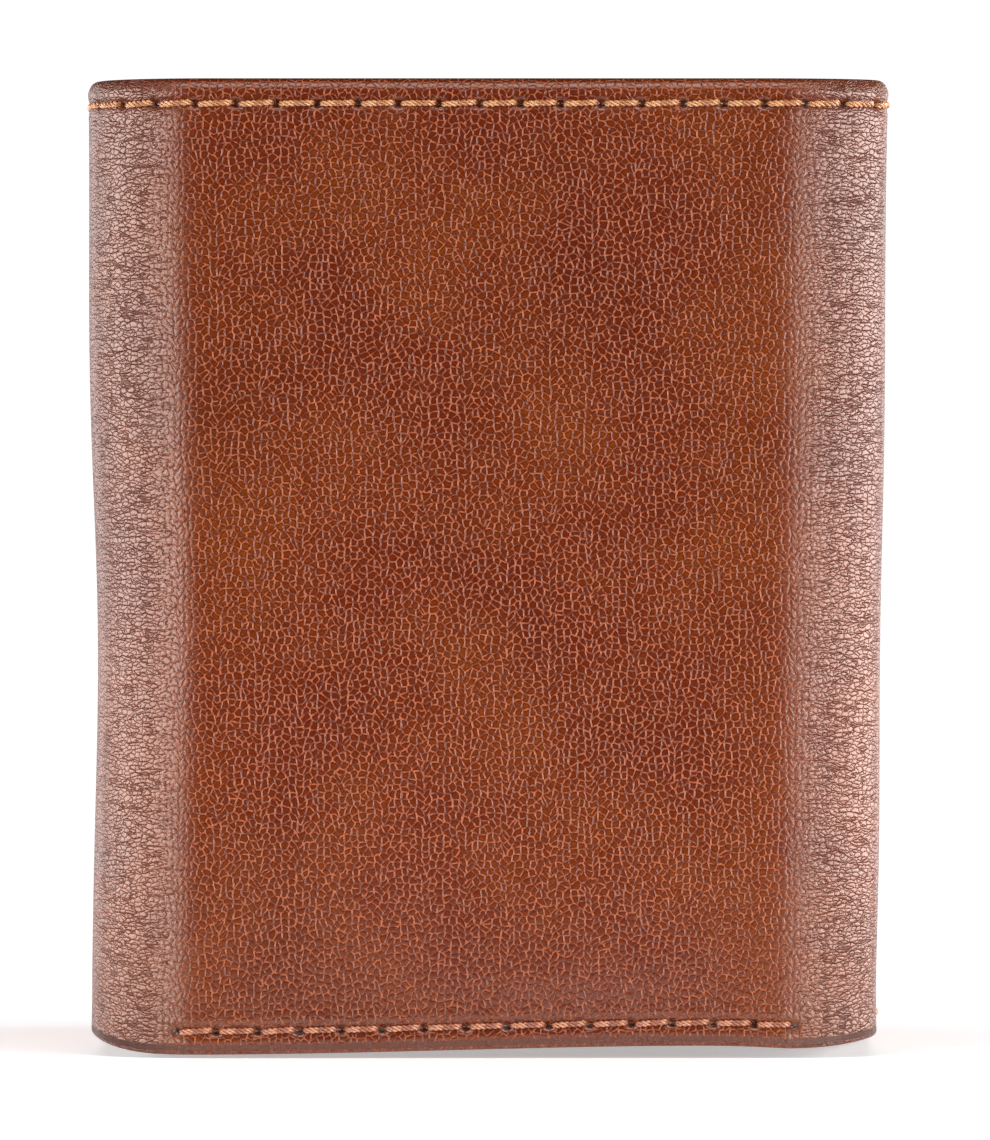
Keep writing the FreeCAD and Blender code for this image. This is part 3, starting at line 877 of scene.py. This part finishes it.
def leaf_section(bottom, top, outer, inner, fill=0.0, ends=None, sink=None, lip=0.3, step=1.2,
                 mouth_line=True):
    """Section of one layer of leather or cloth. fill is how far its sewn border reaches back, sink presses
    stitches into its inner face, and mouth_line is the pressed line along its mouth."""
    spots = [(BOTTOM_ROW_Z, 1.5, 0.3)] if sink is not None else []
    if mouth_line:
        spots.append((top - CREASE_LINE, 0.9, 0.18))
    face = graded(bottom + lip, top - lip, step, spots)
    curve = np.linspace(0, math.pi, 7)[1:-1]
    half = (inner - outer) / 2
    z_top = top - lip + lip * np.sin(curve)
    z_low = bottom + lip - lip * np.sin(curve)

    def section(s):
        d_face = np.full_like(face, inner)
        if mouth_line:
            d_face = d_face - CREASE_SINK * bell((face - top + CREASE_LINE) / CREASE_WIDTH)
        if sink is not None:
            d_face = d_face - sink(np.full_like(face, s), face)
        d_back = np.full_like(face, outer)
        if fill and ends is not None:
            d_back = d_back - fill * sewn_border(abs(s), face, ends[0], ends[1], bottom)
        d_curve = outer + half + half * np.cos(curve)
        z = np.concatenate([face, z_top, face[::-1], z_low])
        d = np.concatenate([d_face, d_curve, d_back[::-1], d_curve[::-1]])
        if ends is not None:
            draw = rounding(np.minimum(abs(s) - ends[0], ends[1] - abs(s)) / lip)
            d = np.where(d > outer + half, d - draw * half * 0.7, d + draw * half * 0.3)
        return round_corners(s, z), d, z

    return section


def round_corners_inset(s, z, inset):
    """As round_corners, with the layer's free edge standing back from the cover's."""
    side = OUTER if s[0] < 0 else INNER
    share = smooth((np.abs(s) - (side.tip - CORNER_REACH)) / CORNER_REACH)
    return s - side.sign * inset * share


def inside_rows(side):
    """Rows on the inside of a flap: two columns that step down from pocket to pocket, and the bottom row."""
    faces = [(BOTTOM_ROW_Z + 2, SLOT_TOP[-1], SLOT_IN[-1])]
    for slot in range(SLOT_COUNT - 1, 0, -1):
        faces.append((SLOT_TOP[slot], SLOT_TOP[slot - 1], SLOT_IN[slot - 1]))
    faces.append((SLOT_TOP[0], SLIP_TOP, SLIP_IN))
    places = {"edge_thread": side.tip - EDGE_ROW, "pocket_thread": pocket_start(side) + SEAM / 2}
    columns = {}
    for name, s in places.items():
        columns[name] = [(Row((side.sign * s, a + 0.4), (side.sign * s, b - 0.4)), depth)
                         for a, b, depth in faces]
    ends = sorted([side.sign * (pocket_start(side) + ROW_END), side.sign * (side.tip - EDGE_ROW - 1.5)])
    columns["bottom_thread"] = [(Row((ends[0], BOTTOM_ROW_Z), (ends[1], BOTTOM_ROW_Z)), SLOT_IN[-1])]
    return columns


def sink_of(rows, depth):
    """The sink of those of the rows that lie on one depth."""
    mine = [row for row, row_depth in rows if abs(row_depth - depth) < 0.01]

    def sink(s, z):
        return sum((row.sink(s, z) for row in mine), np.zeros_like(z)) * INSIDE_SINK

    return sink


def add_leaf(name, body, lines, section, material, nodes):
    piece = Loft(lines, section).piece(name, 0, len(lines) - 1, material)
    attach(piece, body)
    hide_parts(*nodes)


def flap_pockets(side):
    """Slip pocket and card slots of one flap."""
    start, stop = pocket_start(side), side.tip - 0.12
    rows = inside_rows(side)
    all_rows = [item for group in rows.values() for item in group]
    spots = [(start, 0.8, 0.15), (stop, 0.8, 0.15), (start + SEAM / 2, 1.2, 0.3),
             (stop - EDGE_ROW, 1.2, 0.3)]
    lines = graded(start, stop, 0.9, spots)
    if side.sign < 0:
        lines = -lines[::-1]
    body = f"{side.name}_flap"
    leaves = [(f"{body}_slip_pocket", SLIP_TOP, SLIP_IN, DIVIDER_IN)]
    behind = SLIP_IN
    for number in SLOTS:
        leaves.append((f"{body}_card_slot_{number}", SLOT_TOP[number - 1], SLOT_IN[number - 1], behind))
        behind = SLOT_IN[number - 1]
    for name, top, inner, back in leaves:
        outer = inner - POCKET_LEATHER
        section = leaf_section(INNER_BOTTOM, top, outer, inner, outer - back - LAYER_GAP, (start, stop),
                               sink_of(all_rows, inner))
        add_leaf(f"{name}_leather", body, lines, section, INSIDE_LEATHER, [name])
    for suffix, items in rows.items():
        grids = []
        for number, (row, depth) in enumerate(items):
            grids += stitch_points(row, depth - INSIDE_BED, 1, rng_for(f"{body}{suffix}{number}"))
        piece = thread_piece(f"{body}_inside_{suffix}_stitches", grids, THREAD_TAN)
        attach(piece, body)


def lining_section(s):
    section = leaf_section(INNER_BOTTOM, HEM_BOTTOM + 1.6, COVER + 0.06, LINING_IN, lip=0.2, step=3.0,
                           mouth_line=False)
    s_out, d, z = section(s)
    return round_corners_inset(s_out, z, 0.25), d, z


def divider_section(s):
    """Inner wall of the bill compartment. Its sewn border is on the panels only."""
    side = OUTER if s < 0 else INNER
    on_flap = abs(s) > last_crease(side)
    ends = (pocket_start(side), side.tip) if on_flap else (-NO_END, NO_END)
    base = leaf_section(INNER_BOTTOM, DIVIDER_TOP, DIVIDER_OUT, DIVIDER_IN, lip=0.38, step=2.0)
    s_out, d, z = base(s)
    on_panel = smooth((POCKET_HALF - abs(s)) / 1.5) + smooth((abs(s) - pocket_start(side)) / 1.5)
    low_border = 1 - smooth((z - INNER_BOTTOM - SEAM) / 1.0)
    end_border = 1 - smooth((ends[1] - abs(s) - SEAM) / 1.0)
    border = np.clip(np.maximum(low_border, end_border) * on_panel, 0, 1)
    fill = (DIVIDER_OUT - LINING_IN - LAYER_GAP) * border
    d = np.where(d < (DIVIDER_OUT + DIVIDER_IN) / 2, d - fill, d)
    return round_corners_inset(s_out, z, 0.12), d, z


def centre_pocket():
    """Slip pocket behind the window frame."""
    spots = [(-POCKET_HALF, 0.8, 0.15), (POCKET_HALF, 0.8, 0.15)]
    lines = graded(-POCKET_HALF, POCKET_HALF, 1.2, spots)
    outer = SLIP_IN - POCKET_LEATHER
    leaf = leaf_section(INNER_BOTTOM, SLIP_TOP, outer, SLIP_IN)

    def section(s):
        s_out, d, z = leaf(s)
        border = sewn_border(abs(s), z, -NO_END, POCKET_HALF, INNER_BOTTOM)
        fill = (outer - DIVIDER_IN - LAYER_GAP) * border
        return s_out, np.where(d < outer + POCKET_LEATHER / 2, d - fill, d), z

    add_leaf("centre_slip_pocket_leather", "centre_panel", lines, section, INSIDE_LEATHER,
             ["centre_slip_pocket"])


def window_opening():
    """The opening as (half width, low z, high z)."""
    corner = high("id_window")
    return corner.x - WINDOW_LAP, low("id_window").z + WINDOW_LAP, corner.z - WINDOW_LAP


def box_outline(half, bottom, top, counts, radius):
    """Points round a rectangle with rounded corners, counterclockwise from its bottom left corner."""
    corners = [(-half, bottom), (half, bottom), (half, top), (-half, top)]
    points = []
    for k, count in enumerate(counts):
        a, b = np.array(corners[k]), np.array(corners[(k + 1) % 4])
        share = np.arange(count) / count
        share = share - 0.099 * np.sin(2 * math.pi * share)  # closer together near the corners
        points.append(a + share[:, None] * (b - a))
    points = np.concatenate(points)
    centre = np.stack([np.clip(points[:, 0], -half + radius, half - radius),
                       np.clip(points[:, 1], bottom + radius, top - radius)], axis=1)
    away = points - centre
    reach = np.linalg.norm(away, axis=1, keepdims=True)
    both = (np.abs(away) > 1e-9).all(axis=1, keepdims=True)
    return np.where(both, centre + away / np.maximum(reach, 1e-9) * radius, points)


def window_frame():
    """Leather frame round the clear sheet, with a thumb notch in its top edge."""
    half, window_low, window_high = window_opening()
    counts = (80, 96, 120, 96)
    inner_line = box_outline(half, window_low, window_high, counts, WINDOW_CORNER)
    outer_line = box_outline(POCKET_HALF, INNER_BOTTOM, FRAME_TOP, counts, 1.0)
    over = np.abs(outer_line[:, 0]) < NOTCH_RADIUS
    on_top = outer_line[:, 1] > FRAME_TOP - 0.01
    dip = np.sqrt(np.maximum(NOTCH_RADIUS ** 2 - outer_line[:, 0] ** 2, 0))
    shoulder = bell((np.abs(outer_line[:, 0]) - NOTCH_RADIUS) / 0.8) * 0.5
    drop = np.where(over & on_top, dip, 0)
    outer_line[:, 1] -= np.where(on_top, np.maximum(drop, shoulder), 0)
    share = np.concatenate([[0, 0.008, 0.03, 0.07], np.linspace(0.12, 0.88, 15), [0.93, 0.97, 0.992, 1]])
    x = inner_line[:, None, 0] + share * (outer_line - inner_line)[:, None, 0]
    z = inner_line[:, None, 1] + share * (outer_line - inner_line)[:, None, 1]
    width = np.linalg.norm(outer_line - inner_line, axis=1)[:, None]
    to_edge = np.minimum(share, 1 - share) * width
    rows = [row for row, _ in centre_rows()]
    drawn = 0.32 * rounding(to_edge / 0.45)
    pressed = CREASE_SINK * bell((to_edge - 1.5) / CREASE_WIDTH)
    sunk = sum(row.sink(x, z) for row in rows) * INSIDE_SINK
    front = FRAME_IN - drawn - pressed - sunk
    outer = FRAME_IN - FRAME_LEATHER
    border = sewn_border(np.abs(x), z, -NO_END, POCKET_HALF, INNER_BOTTOM)
    back = outer + drawn * 0.5 - (outer - SLIP_IN - LAYER_GAP) * border * np.clip(to_edge * 4, 0, 1)
    d = np.concatenate([front, back[:, ::-1]], axis=1)
    x2 = np.concatenate([x, x[:, ::-1]], axis=1)
    z2 = np.concatenate([z, z[:, ::-1]], axis=1)
    points = place(x2, d, z2)
    index = np.arange(d.size).reshape(d.shape)
    nxt, up = np.roll(index, -1, axis=0), np.roll(index, -1, axis=1)
    both = np.roll(nxt, -1, axis=1)
    faces = np.stack([index, nxt, both, up], axis=-1).reshape(-1, 4).tolist()
    piece = add_mesh("id_window_frame_leather", points.reshape(-1, 3), faces, INSIDE_LEATHER,
                     np.stack([x2, z2], axis=-1).reshape(-1, 2))
    fix_normals(piece)
    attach(piece, "centre_panel")
    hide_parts("id_window_frame")


def centre_rows():
    """Rows on the window frame, with the piece of thread that each belongs to."""
    rows = [(back_row, "bottom")]
    for sign in (-1, 1):
        s = sign * (POCKET_HALF - SEAM / 2)
        rows.append((Row((s, BOTTOM_ROW_Z + 2), (s, FRAME_TOP - 1)), "sides"))
    return rows


def centre_inside_threads():
    for label, name, node in (("bottom", "centre_inside_bottom_thread", []),
                              ("sides", "id_frame_side_thread", ["id_frame_thread"])):
        grids = []
        for number, (row, own) in enumerate(centre_rows()):
            if own == label:
                grids += stitch_points(row, FRAME_IN - INSIDE_BED, 1, rng_for(f"{name}{number}"))
        piece = thread_piece(f"{name}_stitches", grids, THREAD_TAN)
        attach(piece, "centre_panel")
        if node:
            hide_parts(*node)


def clear_window():
    """Thin clear sheet, a little wavy, sewn behind the frame."""
    half = high("id_window").x - 0.1
    outer = FRAME_IN - FRAME_LEATHER - 0.28

    def section(s):
        face = np.linspace(low("id_window").z + 0.1, high("id_window").z - 0.1, 50)
        wave = 0.05 * np.sin(face / 9 + s / 7) * (1 - (s / half) ** 2)
        z = np.concatenate([face, face[::-1]])
        d = np.concatenate([outer + 0.2 + wave, (outer + 0.05 + wave)[::-1]])
        return np.full_like(z, s), d, z

    lines = np.linspace(-half, half, 40)
    add_leaf("id_window_sheet", "centre_panel", lines, section, CLEAR, ["id_window"])


band("lining_cloth", lining_section, LINING, 1.2, lambda label: [f"{label}_lining"])
band("divider_leather", divider_section, INSIDE_LEATHER, 0.9,
     lambda label: [f"{label}_divider"])
for side in SIDES:
    flap_pockets(side)
centre_pocket()
window_frame()
centre_inside_threads()
clear_window()


# Camera, light and floor, in metres
CAMERA_DISTANCE = 1.40
FRAME_HEIGHT = 0.1260  # of the picture, at the wallet's back
CAMERA_X = 0.0009
CAMERA_Z = 0.0536
SENSOR = 36
FLOOR_RADIUS = 0.15
WORLD_SEEN = 1.05  # brightness of the background
WORLD_LIGHT = 0.03  # and of the light that it gives


def add_camera():
    data = bpy.data.cameras.new("camera")
    camera = bpy.data.objects.new("camera", data)
    bpy.context.scene.collection.objects.link(camera)
    data.sensor_width = SENSOR
    data.lens = data.sensor_width * CAMERA_DISTANCE / FRAME_HEIGHT
    data.clip_start = 0.05
    camera.location = (CAMERA_X, BACK * MM - CAMERA_DISTANCE, CAMERA_Z)
    camera.rotation_euler = (math.pi / 2, 0, 0)
    bpy.context.scene.camera = camera


def add_light(name, location, target, size, power, colour=(1, 1, 1)):
    data = bpy.data.lights.new(name, "AREA")
    data.shape = "RECTANGLE"
    data.size, data.size_y = size
    data.energy = power
    data.color = colour
    light = bpy.data.objects.new(name, data)
    bpy.context.scene.collection.objects.link(light)
    light.location = location
    direction = Vector(target) - Vector(location)
    light.rotation_euler = direction.to_track_quat("-Z", "Y").to_euler()


def add_floor():
    mesh = bpy.data.meshes.new("floor")
    bm = bmesh.new()
    bmesh.ops.create_circle(bm, cap_ends=True, radius=FLOOR_RADIUS, segments=96)
    bm.to_mesh(mesh)
    bm.free()
    g = Graph("floor_white")
    g.set(Base_Color=(0.9, 0.9, 0.9, 1), Roughness=0.9, Specular_IOR_Level=0.1,
          Emission_Color=(1, 1, 1, 1), Emission_Strength=0.4)
    mesh.materials.append(g.material)
    floor = bpy.data.objects.new("floor", mesh)
    floor.location = (0, 0, -0.0004)
    bpy.context.scene.collection.objects.link(floor)


def set_world():
    world = bpy.data.worlds.new("studio")
    bpy.context.scene.world = world
    world.use_nodes = True
    tree = world.node_tree
    background = tree.nodes["Background"]
    background.inputs["Color"].default_value = (1, 1, 1, 1)
    path = tree.nodes.new("ShaderNodeLightPath")
    strength = tree.nodes.new("ShaderNodeMapRange")
    strength.inputs[3].default_value = WORLD_LIGHT
    strength.inputs[4].default_value = WORLD_SEEN
    tree.links.new(path.outputs["Is Camera Ray"], strength.inputs[0])
    tree.links.new(strength.outputs[0], background.inputs["Strength"])


add_camera()
add_light("left_softbox", (-1.15, -0.78, 0.10), (0, -0.78, 0.05), (2.25, 0.8), 40, (1.0, 0.96, 0.95))
add_light("right_softbox", (1.15, -0.90, 0.10), (0, -0.90, 0.05), (2.6, 0.8), 61, (0.98, 0.98, 1.0))
add_light("front_fill", (0.0, -0.9, 1.35), (0, 0, 0.05), (1.6, 0.8), 13)
add_light("left_rim", (-1.1, 0.95, 0.15), (0, 0, 0.05), (1.5, 0.8), 9)
add_light("right_rim", (1.1, 0.95, 0.15), (0, 0, 0.05), (1.5, 0.8), 11)
add_floor()
set_world()
bpy.context.scene.view_settings.view_transform = "Standard"
